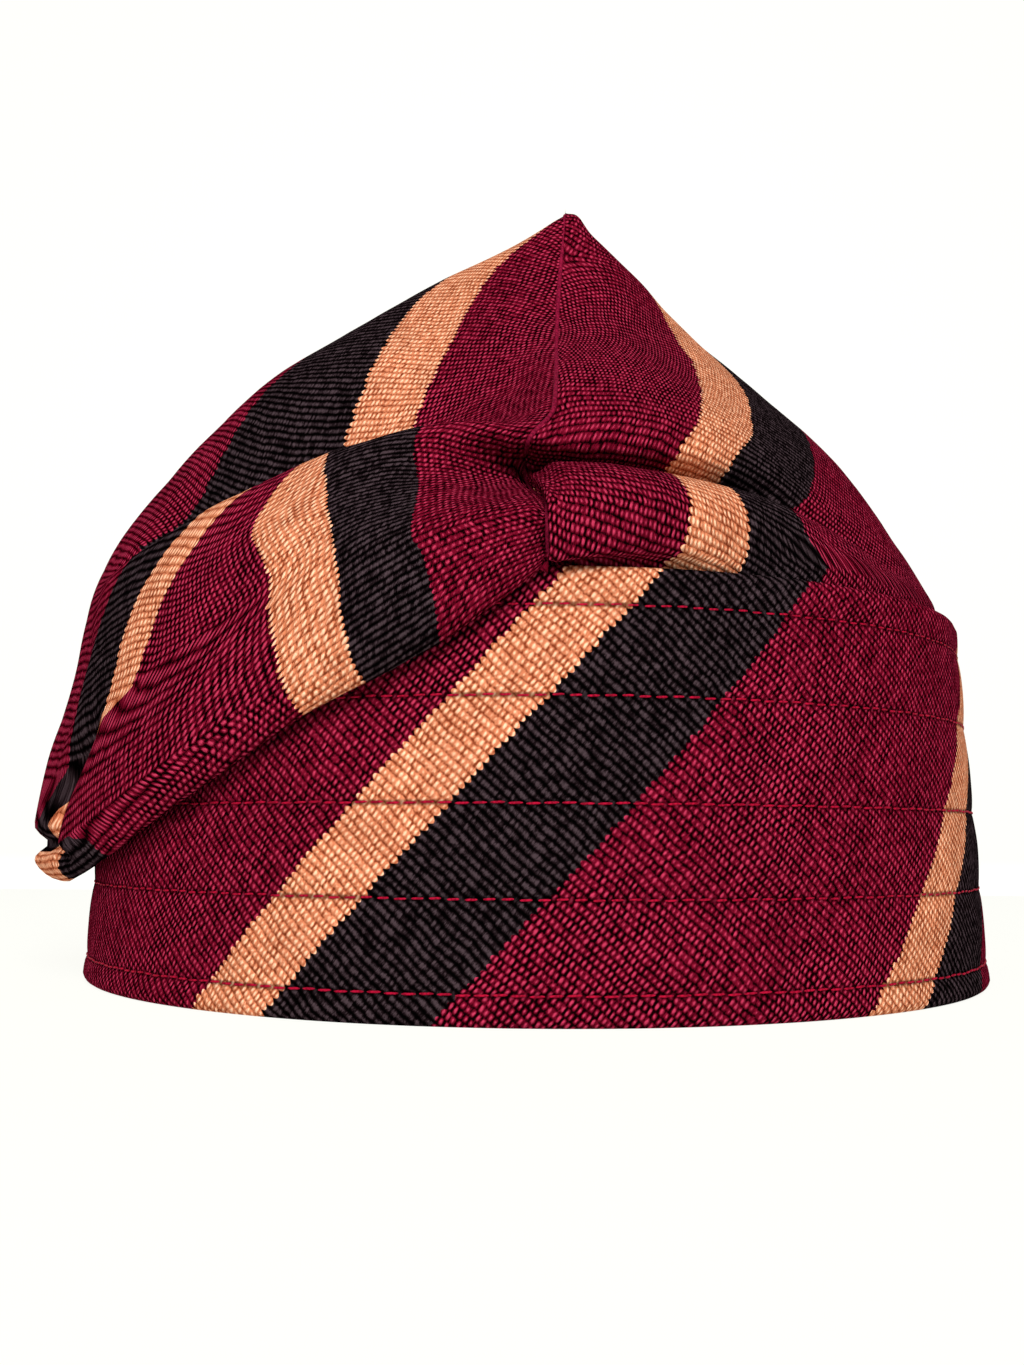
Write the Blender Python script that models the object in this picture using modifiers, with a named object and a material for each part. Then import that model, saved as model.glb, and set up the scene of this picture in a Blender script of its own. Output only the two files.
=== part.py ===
"""A fila cap of striped hand-woven strip cloth, standing on its rim.

The cap is three sewn pieces: a stiffened oval band, and the left and right halves of the
crown, which meet at one seam over the top. The crown is tucked into the band. Its left half
flops forward and down over the band as a flap, its right half is folded once above the band.

Axes: +Z up, the wearer's face looks along -Y, +X is the right of someone facing the cap.
The rim of the band stands on Z = 0.
"""
import math

import bmesh
import bpy
from mathutils import Vector

MM = 0.001

# Driving dimensions of the band, in millimetres
RIM_HALF_WIDTH = 88.0
RIM_HALF_DEPTH = 100.0
BAND_HEIGHT = 67.0
BAND_WALL = 3.0
BAND_LEAN = 0.07
BAND_EDGE_ROUND = 0.8

# The centre of the band, set off so that the whole cap's box is centred on the origin
BAND_CENTRE_X = 5.4
BAND_CENTRE_Y = 1.0

# The cloth of the crown, in millimetres
CLOTH = 1.4
TUCK_DEPTH = 14.0
CLEARANCE = 0.5
SEAM_GAP = 0.3

# Facets
BAND_FACETS = 80
PANEL_FACETS = 38

# Where the seam runs across the front, as its height and its place to the right
SEAM_SWAY = ((60.0, 0.5), (75.0, 0.0), (87.0, -3.0), (95.0, 1.5), (124.0, 3.0), (143.0, 4.5))
SEAM_SWAY_WIDTH = 26.0

# The folds of the left half of the crown. A row is a section at an angle round the cap from
# the front seam. Each fold line has its place beyond the band's top edge and its height, and
# the crest has its place from front to back and its height.
LEFT_FOLDS = (
    # angle, lip, belly, pinch, ridge, crease, shoulder, brow, crest
    (0, (3.5, 66.5), (3, 75), (-23, 86), (-11.5, 88.5), (-17, 96.5), (-42, 117), (-51, 132), (-39.4, 143)),
    (10, (7, 54), (7.5, 70), (-9, 84), (-11, 91.5), (-23, 93.5), (-41, 116), (-51, 132), (-38.8, 143)),
    (22, (7.5, 44), (8, 64), (0, 79), (-9, 88.5), (-21, 84), (-37, 111), (-51, 131), (-37.5, 143)),
    (36, (8, 32), (7.5, 55), (2.5, 72), (-5.5, 83), (-17, 76), (-31, 109), (-50, 130.5), (-34.5, 143)),
    (50, (8.5, 23.5), (8.5, 47), (5, 66), (-1.5, 78), (-12, 74), (-25, 108), (-49, 130), (-29, 142.5)),
    (62, (10, 19.5), (9.5, 40), (6, 60), (1.5, 75), (-7, 76), (-20, 107), (-46, 129), (-23, 142)),
    (71, (12, 18), (11, 37), (6, 55), (4, 73), (-2.5, 82), (-17.5, 106.5), (-43, 128.5), (-15, 141.5)),
    (79, (15, 18), (14.5, 36.5), (9, 55.5), (6, 74), (0.5, 85), (-16, 107), (-41, 127.5), (-9.5, 141)),
    (88, (14.5, 18.5), (15.5, 36), (11.5, 56), (7.5, 75), (3, 87), (-14.5, 107), (-39, 126.5), (-4, 140)),
    (108, (13.5, 27), (12.5, 42), (10.5, 58), (7.5, 75), (2.5, 87), (-14, 105.5), (-36, 124), (14, 137)),
    (135, (8, 45), (7.5, 55), (6.5, 64), (4.5, 76), (-1.5, 88), (-15, 104), (-33, 118), (36, 130)),
    (160, (4, 60), (3.5, 68), (2, 75), (-1, 83), (-6.5, 92), (-15, 102), (-25, 112), (52, 121)),
    (180, (2.5, 66.5), (2, 71.5), (0.5, 77), (-2, 83), (-7, 91), (-13, 98), (-20, 106), (64, 113)),
)

# The valleys behind the flap's rounded end and above its lower roll. A row is a place along a
# valley, as its angle and height on the flap, and how deep and wide the valley is there.
FLAP_VALLEYS = (
    # angle, height, depth, width
    (
        (50, 49, 0, 3.5),
        (54.5, 44, 2.5, 3.5),
        (60.5, 38, 4.5, 3.5),
        (64, 33.5, 5, 3.5),
        (66, 29, 5, 3.2),
        (66.5, 25, 4, 2.8),
        (63, 22.5, 2.5, 1.5),
        (57, 22, 0, 1.5),
    ),
    (
        (66.5, 25, 3.5, 2),
        (80, 25, 3, 1.8),
        (98, 28, 2, 1.8),
        (112, 31, 0, 1.8),
    ),
)
FLAP_RADIUS = 96.0
FLAP_EDGE_SPAN = 5

# The folds of the right half of the crown, written the same way
RIGHT_FOLDS = (
    # angle, foot, belly, pinch, ridge, crease, shoulder, brow, crest
    (0, (3.5, 66.5), (3, 75), (-23, 86), (-11.5, 88.5), (-17, 96.5), (-42, 117), (-51, 132), (-39.4, 143)),
    (8, (2.5, 68.8), (3.5, 76), (-20.5, 85), (-11, 87.8), (-17, 97), (-42, 117), (-51, 132), (-38.9, 143)),
    (16, (-0.5, 69.5), (0.5, 76), (-21, 84), (-12.5, 88), (-19, 97.5), (-43, 117), (-53, 133), (-38.3, 143)),
    (26, (-3.4, 70), (-3.5, 75.5), (-21, 82.5), (-16, 88), (-22, 97.5), (-44, 117), (-56, 133), (-36.8, 143)),
    (36, (-3.6, 70), (-5, 73.5), (-16, 79.5), (-16.5, 86), (-24, 97.5), (-43, 117), (-58, 133), (-34.5, 143)),
    (48, (-3.6, 69), (-4.5, 71.5), (-10.5, 76), (-14, 83), (-23.5, 98), (-42, 117), (-59, 133), (-29, 142.5)),
    (62, (-3.6, 68.8), (-4, 70.5), (-6.5, 74), (-11, 82), (-20.5, 97), (-40, 117), (-60, 133), (-22, 142)),
    (78, (-3.6, 68.6), (-4, 71), (-5.5, 75), (-9, 82), (-18, 95), (-38, 116), (-60, 132.5), (-11, 141)),
    (100, (-3.6, 68.6), (-3.6, 71.5), (-4.5, 76), (-7.5, 83), (-16.5, 95), (-35, 114), (-58, 130), (8, 138)),
    (130, (-3.6, 68.6), (-3.2, 71.5), (-3.4, 76), (-5.5, 83), (-13, 94), (-28.5, 109), (-46, 122), (34, 131)),
    (158, (-3, 68.6), (-2.2, 71.5), (-2.2, 76), (-3.5, 82), (-9.5, 91), (-18, 101), (-29, 112), (52, 121)),
    (180, (2.5, 66.5), (2, 71.5), (0.5, 77), (-2, 83), (-7, 91), (-13, 98), (-20, 106), (64, 113)),
)

# How many facets lie between each two fold lines, from the tuck to the crest
LEFT_STEPS = (1, 2, 2, 2, 2, 2, 3, 3, 3, 4, 4, 3, 3)
RIGHT_STEPS = (1, 2, 2, 3, 4, 4, 3, 3, 3, 3)

# Finishes: base colour, roughness
MAROON = ((0.19, 0.008, 0.03, 1.0), 0.75)
DEEP_MAROON = ((0.15, 0.006, 0.025, 1.0), 0.75)
BRIGHT_MAROON = ((0.22, 0.01, 0.04, 1.0), 0.75)


def smooth_value(keys, values, at):
    """Read a smooth curve through the values at their keys; it doesn't overshoot."""
    if at <= keys[0]:
        return values[0]
    if at >= keys[-1]:
        return values[-1]
    last = len(keys) - 1
    i = max(k for k in range(last) if keys[k] <= at)

    def slope(k):
        if k in (0, last):
            low, high = max(k - 1, 0), min(k + 1, last)
            return (values[high] - values[low]) / (keys[high] - keys[low])
        before = (values[k] - values[k - 1]) / (keys[k] - keys[k - 1])
        after = (values[k + 1] - values[k]) / (keys[k + 1] - keys[k])
        if before * after <= 0.0:
            return 0.0
        return 2.0 * before * after / (before + after)

    span = keys[i + 1] - keys[i]
    t = (at - keys[i]) / span
    return (
        values[i] * (1 + 2 * t) * (1 - t) ** 2
        + values[i + 1] * t * t * (3 - 2 * t)
        + slope(i) * span * t * (1 - t) ** 2
        - slope(i + 1) * span * t * t * (1 - t)
    )


def smooth_run(points, steps):
    """Read a smooth curve through points, with a number of steps in each span."""
    count = len(points)
    run = []
    for i in range(count - 1):
        p1, p2 = points[i], points[i + 1]
        p0 = points[i - 1] if i else p1 + (p1 - p2)
        p3 = points[i + 2] if i + 2 < count else p2 + (p2 - p1)
        d1, d2, d3 = ((b - a).length ** 0.5 + 1e-6 for a, b in ((p0, p1), (p1, p2), (p2, p3)))
        for s in range(steps[i]):
            t = d1 + d2 * s / steps[i]
            a1 = p0.lerp(p1, t / d1)
            a2 = p1.lerp(p2, (t - d1) / d2)
            a3 = p2.lerp(p3, (t - d1 - d2) / d3)
            b1 = a1.lerp(a2, t / (d1 + d2))
            b2 = a2.lerp(a3, (t - d1) / (d2 + d3))
            run.append(b1.lerp(b2, (t - d1) / d2))
    run.append(points[-1].copy())
    return run


def oval_reach(angle, height, outward=0.0):
    """Distance from the band's middle to its outer face, at an angle from the front."""
    across = RIM_HALF_WIDTH - BAND_LEAN * height
    along = RIM_HALF_DEPTH - BAND_LEAN * height
    s, c = math.sin(math.radians(angle)), math.cos(math.radians(angle))
    return 1.0 / math.hypot(s / across, c / along) + outward


def polar(angle, reach, height, side):
    """A point at an angle from the front, to the left (side -1) or the right (side 1)."""
    turn = math.radians(angle)
    return Vector((side * reach * math.sin(turn), -reach * math.cos(turn), height))


def fold_row(table, angle):
    """One section of a crown half between the table's rows: a list of pairs."""
    angles = [row[0] for row in table]
    return [
        tuple(smooth_value(angles, [row[column][k] for row in table], angle) for k in (0, 1))
        for column in range(1, len(table[0]))
    ]


def left_section(angle):
    """Points of the left half's section, from the tuck inside the band to the crest."""
    lip, belly, pinch, ridge, crease, shoulder, brow, crest = fold_row(LEFT_FOLDS, angle)
    top = BAND_HEIGHT
    edge = oval_reach(angle, top)
    under_height = 0.5 * (top + lip[1])
    under_out = oval_reach(angle, under_height) - edge + CLEARANCE
    lip_out = oval_reach(angle, lip[1]) - edge + CLEARANCE
    folds = (
        (oval_reach(angle, top - TUCK_DEPTH) - edge - BAND_WALL - CLEARANCE, top - TUCK_DEPTH),
        (-BAND_WALL - CLEARANCE, top - 1.0),
        (-0.5 * BAND_WALL, top + CLEARANCE + 0.6),
        (CLEARANCE, top - 0.3),
        (under_out, under_height),
        (0.5 * (lip_out + lip[0]), lip[1]),
        (lip[0], lip[1] + 3.0),
        belly,
        pinch,
        ridge,
        crease,
        shoulder,
        brow,
    )
    points = [polar(angle, edge + out, up, -1) for out, up in folds]
    points.append(Vector((0.0, crest[0], crest[1])))
    return points


def valley_depth(angle, height):
    """How deep the flap's valleys are at a place on it."""
    round_step = math.radians(FLAP_RADIUS)
    deepest = 0.0
    for valley in FLAP_VALLEYS:
        for start, end in zip(valley, valley[1:]):
            way = Vector(((end[0] - start[0]) * round_step, end[1] - start[1]))
            here = Vector(((angle - start[0]) * round_step, height - start[1]))
            along = min(max(here.dot(way) / way.length_squared, 0.0), 1.0)
            away = (here - way * along).length
            depth = start[2] + (end[2] - start[2]) * along
            width = start[3] + (end[3] - start[3]) * along
            deepest = max(deepest, depth * math.exp(-((away / width) ** 2)))
    return deepest


def left_run(angle, steps):
    """The left half's section as a smooth run of points, with the flap's valleys pressed in."""
    run = smooth_run(left_section(angle), steps)
    low, high = sum(steps[:FLAP_EDGE_SPAN]), sum(steps[:FLAP_EDGE_SPAN + 1])
    for k in range(low, len(run)):
        # the valleys begin on the flap's lower edge, not on the layer beneath
        share = min((k - low) / (high - low), 1.0)
        reach = math.hypot(run[k].x, run[k].y)
        pressed = 1.0 - share * valley_depth(angle, run[k].z) / reach
        run[k].x *= pressed
        run[k].y *= pressed
    return run


def right_section(angle):
    """Points of the right half's section, from the tuck inside the band to the crest."""
    foot, belly, pinch, ridge, crease, shoulder, brow, crest = fold_row(RIGHT_FOLDS, angle)
    top = BAND_HEIGHT
    edge = oval_reach(angle, top)
    inside = -BAND_WALL - CLEARANCE
    # where the foot stands over the band's edge, the cloth first climbs over that edge
    climb = min(max((foot[0] - inside) / BAND_WALL, 0.0), 1.0)
    folds = (
        (oval_reach(angle, top - TUCK_DEPTH) - edge + inside, top - TUCK_DEPTH),
        (inside, top - 1.0),
        (inside + climb * (0.5 * BAND_WALL + CLEARANCE), top + CLEARANCE + 0.6 * climb),
        foot,
        belly,
        pinch,
        ridge,
        crease,
        shoulder,
        brow,
    )
    points = [polar(angle, edge + out, up, 1) for out, up in folds]
    points.append(Vector((0.0, crest[0], crest[1])))
    return points


def right_run(angle, steps):
    """The right half's section as a smooth run of points."""
    return smooth_run(right_section(angle), steps)


def sway(point):
    """How far the seam wanders to the right at a height, fading away from the seam."""
    drift = smooth_value([s[0] for s in SEAM_SWAY], [s[1] for s in SEAM_SWAY], point.z)
    return drift * math.exp(-((point.x / SEAM_SWAY_WIDTH) ** 2))


def make_material(name, finish):
    """A plain cloth material."""
    colour, roughness = finish
    material = bpy.data.materials.new(name)
    material.use_nodes = True
    shader = material.node_tree.nodes["Principled BSDF"]
    shader.inputs["Base Color"].default_value = colour
    shader.inputs["Roughness"].default_value = roughness
    shader.inputs["Metallic"].default_value = 0.0
    return material


def place(name, mesh, collection, finish):
    """Make an object of a mesh, in the collection, with its material."""
    part = bpy.data.objects.new(name, mesh)
    part.location = (BAND_CENTRE_X * MM, BAND_CENTRE_Y * MM, 0.0)
    collection.objects.link(part)
    mesh.materials.append(make_material(name + "_cloth", finish))
    mesh.shade_smooth()
    return part


def band_profile():
    """Outline of the band's wall: height and inset from its outer face."""
    r = BAND_EDGE_ROUND
    return (
        (0.0, r),
        (r, 0.0),
        (0.25 * BAND_HEIGHT, 0.0),
        (0.5 * BAND_HEIGHT, 0.0),
        (0.75 * BAND_HEIGHT, 0.0),
        (BAND_HEIGHT - r, 0.0),
        (BAND_HEIGHT, r),
        (BAND_HEIGHT, BAND_WALL - r),
        (BAND_HEIGHT - r, BAND_WALL),
        (0.5 * BAND_HEIGHT, BAND_WALL),
        (r, BAND_WALL),
        (0.0, BAND_WALL - r),
    )


def make_band(collection):
    """The stiffened band: the wall's outline carried round the tapering oval."""
    mesh = bpy.data.meshes.new("band")
    shape = bmesh.new()
    loops = []
    for i in range(BAND_FACETS):
        angle = 360.0 * i / BAND_FACETS
        points = [polar(angle, oval_reach(angle, up, -inset), up, 1) for up, inset in band_profile()]
        loops.append([shape.verts.new(point * MM) for point in points])
    size = len(loops[0])
    for i in range(BAND_FACETS):
        this, following = loops[i], loops[(i + 1) % BAND_FACETS]
        for k in range(size):
            after = (k + 1) % size
            shape.faces.new((this[k], following[k], following[after], this[after]))
    bmesh.ops.recalc_face_normals(shape, faces=shape.faces)
    shape.to_mesh(mesh)
    shape.free()
    return place("band", mesh, collection, MAROON)


def make_crown_half(name, section_run, steps, side, collection, finish):
    """A crown half: a loft through its sections, made a wall by Solidify."""
    mesh = bpy.data.meshes.new(name)
    shape = bmesh.new()
    rows = []
    for i in range(PANEL_FACETS + 1):
        # closer sections near the front, where the folds are
        angle = 180.0 * (i / PANEL_FACETS) ** 1.25
        rows.append([shape.verts.new(point * MM) for point in section_run(angle, steps)])
    for a, b in zip(rows, rows[1:]):
        for k in range(len(a) - 1):
            corners = (a[k], b[k], b[k + 1], a[k + 1])
            shape.faces.new(corners if side > 0 else corners[::-1])
    shape.to_mesh(mesh)
    shape.free()

    sheet = bpy.data.objects.new(name + "_sheet", mesh)
    collection.objects.link(sheet)
    wall = sheet.modifiers.new("wall", "SOLIDIFY")
    wall.thickness = CLOTH * MM
    wall.offset = -1.0
    wall.use_even_offset = False
    bpy.context.view_layer.update()
    solid = bpy.data.meshes.new_from_object(sheet.evaluated_get(bpy.context.evaluated_depsgraph_get()))
    bpy.data.objects.remove(sheet)

    # the half stops short of the seam, which then sways to its place
    for vertex in solid.vertices:
        point = vertex.co / MM
        point.x = side * max(side * point.x, 0.5 * SEAM_GAP)
        point.x += sway(point)
        vertex.co = point * MM
    solid.name = name
    return place(name, solid, collection, finish)


def main():
    for thing in list(bpy.data.objects):
        bpy.data.objects.remove(thing)
    collection = bpy.data.collections.new("fila_cap")
    bpy.context.scene.collection.children.link(collection)
    make_band(collection)
    make_crown_half("crown_left", left_run, LEFT_STEPS, -1, collection, DEEP_MAROON)
    make_crown_half("crown_right", right_run, RIGHT_STEPS, 1, collection, BRIGHT_MAROON)


main()
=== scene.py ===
"""Looks of the fila cap: the woven cloth, its stitching, the light and the camera.

The cloth pieces follow the same folds as the solids in the frame, on a much finer grid. The roll
under the right half's lobe, the tip of the peak, the rolled edge beside the seam and the quilting
of the band are added here.

Two UV layers carry the cloth's own coordinates to its material: "stripes" holds the distance
across the stripes and the height above the nearest row of stitches, and "weave" counts the warp
threads and the ribs.
"""
import math

import bpy
import numpy as np
from mathutils import Euler, Matrix, Vector, noise


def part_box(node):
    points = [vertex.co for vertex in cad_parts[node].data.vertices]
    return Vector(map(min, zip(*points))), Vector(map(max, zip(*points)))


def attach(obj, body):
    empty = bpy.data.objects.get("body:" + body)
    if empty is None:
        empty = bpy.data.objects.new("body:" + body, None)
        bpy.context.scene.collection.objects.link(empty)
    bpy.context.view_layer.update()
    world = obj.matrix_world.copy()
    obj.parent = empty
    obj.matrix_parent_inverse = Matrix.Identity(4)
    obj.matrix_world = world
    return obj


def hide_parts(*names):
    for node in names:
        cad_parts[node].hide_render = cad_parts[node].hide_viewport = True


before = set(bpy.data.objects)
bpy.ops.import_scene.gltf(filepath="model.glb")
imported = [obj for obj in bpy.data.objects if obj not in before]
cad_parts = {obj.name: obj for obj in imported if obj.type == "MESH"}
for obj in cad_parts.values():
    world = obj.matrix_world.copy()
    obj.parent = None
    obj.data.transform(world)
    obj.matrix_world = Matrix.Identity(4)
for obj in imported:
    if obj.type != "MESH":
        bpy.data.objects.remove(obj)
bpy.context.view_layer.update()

MM = 0.001

# A small number that keeps a division from failing
TINY = 1e-9

# The band, in millimetres. Its outer size is measured on the frame, and its wall and its lean
# repeat those of the solid.
BAND_LOW, BAND_HIGH = (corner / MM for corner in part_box("band"))
BAND_CENTRE = Vector((0.5 * (BAND_LOW.x + BAND_HIGH.x), 0.5 * (BAND_LOW.y + BAND_HIGH.y), 0.0))
RIM_HALF_WIDTH = 0.5 * (BAND_HIGH.x - BAND_LOW.x)
RIM_HALF_DEPTH = 0.5 * (BAND_HIGH.y - BAND_LOW.y)
BAND_HEIGHT = BAND_HIGH.z
BAND_WALL = 3.0
BAND_LEAN = 0.07

# The cloth of the crown, in millimetres. The slit between the halves is narrower than in the
# solids, so that no light shows through it. A pair of the sway is a height and how far the seam
# stands to the right there.
CLOTH = 1.4
TUCK_DEPTH = 14.0
CLEARANCE = 0.5
SEAM_GAP = 0.08
SEAM_SWAY = ((60.0, 0.5), (75.0, 0.0), (87.0, -3.0), (95.0, 1.5), (124.0, 3.0), (143.0, 4.5))
SEAM_SWAY_WIDTH = 26.0

# The folds of the crown's left half, as in the solids. A row is a section at an angle round the
# cap from the front seam. Each fold line has its place beyond the band's top edge and its height,
# and the crest has its place from front to back and its height.
LEFT_FOLDS = (
    # angle, lip, belly, pinch, ridge, crease, shoulder, brow, crest
    (0, (3.5, 66.5), (3, 75), (-23, 86), (-11.5, 88.5), (-17, 96.5), (-42, 117), (-51, 132), (-39.4, 143)),
    (10, (7, 54), (7.5, 70), (-9, 84), (-11, 91.5), (-23, 93.5), (-41, 116), (-51, 132), (-38.8, 143)),
    (22, (7.5, 44), (8, 64), (0, 79), (-9, 88.5), (-21, 84), (-37, 111), (-51, 131), (-37.5, 143)),
    (36, (8, 32), (7.5, 55), (2.5, 72), (-5.5, 83), (-17, 76), (-31, 109), (-50, 130.5), (-34.5, 143)),
    (50, (8.5, 23.5), (8.5, 47), (5, 66), (-1.5, 78), (-12, 74), (-25, 108), (-49, 130), (-29, 142.5)),
    (62, (10, 19.5), (9.5, 40), (6, 60), (1.5, 75), (-7, 76), (-20, 107), (-46, 129), (-23, 142)),
    (71, (12, 18), (11, 37), (6, 55), (4, 73), (-2.5, 82), (-17.5, 106.5), (-43, 128.5), (-15, 141.5)),
    (79, (15, 18), (14.5, 36.5), (9, 55.5), (6, 74), (0.5, 85), (-16, 107), (-41, 127.5), (-9.5, 141)),
    (88, (14.5, 18.5), (15.5, 36), (11.5, 56), (7.5, 75), (3, 87), (-14.5, 107), (-39, 126.5), (-4, 140)),
    (108, (13.5, 27), (12.5, 42), (10.5, 58), (7.5, 75), (2.5, 87), (-14, 105.5), (-36, 124), (14, 137)),
    (135, (8, 45), (7.5, 55), (6.5, 64), (4.5, 76), (-1.5, 88), (-15, 104), (-33, 118), (36, 130)),
    (160, (4, 60), (3.5, 68), (2, 75), (-1, 83), (-6.5, 92), (-15, 102), (-25, 112), (52, 121)),
    (180, (2.5, 66.5), (2, 71.5), (0.5, 77), (-2, 83), (-7, 91), (-13, 98), (-20, 106), (64, 113)),
)

# The valleys behind the flap's rounded end and above its lower roll. A row is a place along a
# valley, as its angle and height on the flap, and how deep and wide the valley is there.
FLAP_VALLEYS = (
    # angle, height, depth, width
    (
        (50, 49, 0, 3.5),
        (54.5, 44, 2.5, 3.5),
        (60.5, 38, 4.5, 3.5),
        (64, 33.5, 5, 3.5),
        (66, 29, 5, 3.2),
        (66.5, 25, 4, 2.8),
        (63, 22.5, 2.5, 1.5),
        (57, 22, 0, 1.5),
    ),
    (
        (66.5, 25, 3.5, 2),
        (80, 25, 3, 1.8),
        (98, 28, 2, 1.8),
        (112, 31, 0, 1.8),
    ),
)

# The flap's distance from the cap's middle, which turns angles into lengths round it, and the
# span of fold lines where its lower edge turns up
FLAP_RADIUS = 96.0
FLAP_EDGE_SPAN = 5

# The folds of the right half, written the same way
RIGHT_FOLDS = (
    # angle, foot, belly, pinch, ridge, crease, shoulder, brow, crest
    (0, (3.5, 66.5), (3, 75), (-23, 86), (-11.5, 88.5), (-17, 96.5), (-42, 117), (-51, 132), (-39.4, 143)),
    (8, (2.5, 68.8), (3.5, 76), (-20.5, 85), (-11, 87.8), (-17, 97), (-42, 117), (-51, 132), (-38.9, 143)),
    (16, (-0.5, 69.5), (0.5, 76), (-21, 84), (-12.5, 88), (-19, 97.5), (-43, 117), (-53, 133), (-38.3, 143)),
    (26, (-3.4, 70), (-3.5, 75.5), (-21, 82.5), (-16, 88), (-22, 97.5), (-44, 117), (-56, 133), (-36.8, 143)),
    (36, (-3.6, 70), (-5, 73.5), (-16, 79.5), (-16.5, 86), (-24, 97.5), (-43, 117), (-58, 133), (-34.5, 143)),
    (48, (-3.6, 69), (-4.5, 71.5), (-10.5, 76), (-14, 83), (-23.5, 98), (-42, 117), (-59, 133), (-29, 142.5)),
    (62, (-3.6, 68.8), (-4, 70.5), (-6.5, 74), (-11, 82), (-20.5, 97), (-40, 117), (-60, 133), (-22, 142)),
    (78, (-3.6, 68.6), (-4, 71), (-5.5, 75), (-9, 82), (-18, 95), (-38, 116), (-60, 132.5), (-11, 141)),
    (100, (-3.6, 68.6), (-3.6, 71.5), (-4.5, 76), (-7.5, 83), (-16.5, 95), (-35, 114), (-58, 130), (8, 138)),
    (130, (-3.6, 68.6), (-3.2, 71.5), (-3.4, 76), (-5.5, 83), (-13, 94), (-28.5, 109), (-46, 122), (34, 131)),
    (158, (-3, 68.6), (-2.2, 71.5), (-2.2, 76), (-3.5, 82), (-9.5, 91), (-18, 101), (-29, 112), (52, 121)),
    (180, (2.5, 66.5), (2, 71.5), (0.5, 77), (-2, 83), (-7, 91), (-13, 98), (-20, 106), (64, 113)),
)

# How many cells lie between each two fold lines, from the tuck to the crest
LEFT_STEPS = (5, 3, 3, 7, 7, 5, 14, 12, 9, 12, 18, 15, 26)
RIGHT_STEPS = (5, 3, 3, 6, 14, 12, 12, 18, 16, 34)

# How many sections a half has, and how much they crowd towards the front seam
PANEL_SECTIONS = 170
SECTION_CROWDING = 1.25

# The stripes, as distances across them in millimetres: a peach one, a black one, then maroon
PEACH_WIDTH = 11.0
BLACK_END = 31.0
REPEAT = 81.5

# Where the stripes' edges cross the fold lines, as angles from the front seam. A row is an edge.
# The lines are numbers of fold lines, counted from the tuck, and a number with a fraction is a
# place on the way to the next fold line.
LEFT_CREASE = 10
UPPER_LEFT_LINES = (10, 11, 12, 13)
UPPER_LEFT_EDGES = (
    # distance across, crease, shoulder, brow, crest
    (0, (23, 20, 15.5, 15)),
    (11, (35, 32, 32, 58)),
    (31, (70, 57, 63, 96)),
    (81.5, (112, 118, 142, 180)),
    (92.5, (120, 127, 154, 200)),
    (112.5, (138, 148, 190, 240)),
)
FLAP_LINES = (5, 6, 6.5, 6.75, 6.9, 7, 8, 9, 10)
FLAP_EDGES = (
    # distance across, lip from inside, lip, three places up from it, belly, pinch, ridge, crease
    (31, (9, 9, 9.5, 10, 10.5, 11, 12, 13, 14)),
    (11, (15.5, 16, 16.7, 17, 17.3, 17.5, 21, 23.5, 25)),
    (0, (21, 22, 23, 23.5, 24, 24, 29, 27, 27)),
    (-14, (42, 42, 41, 39, 36, 33, 34, 30, 29)),
    (0, (64, 64, 63, 58.5, 52.5, 43.5, 39, 33, 31)),
    (11, (73, 73, 70.5, 65, 55.5, 49, 46, 40, 38)),
    (31, (82, 82, 76, 73, 68, 64.5, 60.5, 56, 58)),
    (81.5, (118, 118, 113, 110.5, 109, 108, 106, 104, 112)),
    (92.5, (126, 126, 121, 118.5, 117, 116, 114, 112, 120)),
    (112.5, (144, 144, 139, 137, 136, 135, 135, 136, 140)),
)
# under the flap's end the cloth is rolled back on itself, so its stripes run the other way
FLAP_ROLL_LINES = (5, 6, 6.2)
FLAP_ROLL_EDGES = (
    (112.5, (9, 9, 9.2)),
    (92.5, (15.5, 16, 16.3)),
    (81.5, (21, 22, 22.4)),
    (31, (50, 52, 58)),
    (11, (65, 66, 67)),
    (0, (77, 78, 78)),
    (-50.5, (120, 120, 120)),
)
FLAP_ROLL_TOP = 6.2
RIGHT_LINES = (2, 3, 4, 5, 6, 7, 8, 9, 10)
RIGHT_EDGES = (
    # distance across, over, foot, belly, pinch, ridge, crease, shoulder, brow, crest
    (0, (11, 12, 13, 15.5, 16.2, 20.5, 32.5, 31, 62)),
    (11, (19, 19.5, 19.5, 23, 24, 32.5, 50.5, 56, 80)),
    (31, (30, 31, 28, 33, 38.5, 51.5, 80, 110, 118)),
    (81.5, (74, 74, 74, 76, 80, 92, 146, 165, 190)),
    (92.5, (82, 82, 82, 84, 88, 101, 156, 176, 200)),
    (112.5, (99, 99, 99, 101, 106, 121, 176, 196, 225)),
)

# The band's stripes lean over to the right: how far round for each millimetre up
BAND_STRIPE_LEAN = 0.92
BAND_STRIPE_START = -58.1
BAND_STRIPE_REPEAT = 110.4

# The roll of cloth under the right half's lobe, which stands up beside the seam, past a fold line.
# A pair is an angle and how high the roll is there.
LOBE_ROLL_FOLD = 4
LOBE_ROLL_HEIGHTS = ((0.4, 0.0), (3.0, 3.3), (26.0, 3.3), (50.0, 0.0))

# The weave, in millimetres: the ribs' pitch, and the space of two warp threads along a rib. The
# slant is how far the grains lean from each rib to the next, as a share of that space.
BAND_RIB = 1.3
BAND_GRAIN = 0.85
LEFT_RIB = 0.85
LEFT_GRAIN = 1.0
FLAP_RIB = 1.0
FLAP_GRAIN = 0.92
RIGHT_RIB = 1.15
RIGHT_GRAIN = 0.75
SLANT = 0.12

# Gentle unevenness of the cloth: how high and how wide its waves are. The band has none at its
# rim, and all of it from the calm height up.
UNEVENNESS = ((0.32, 17.0), (0.14, 6.5))
CALM_HEIGHT = 6.0

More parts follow.
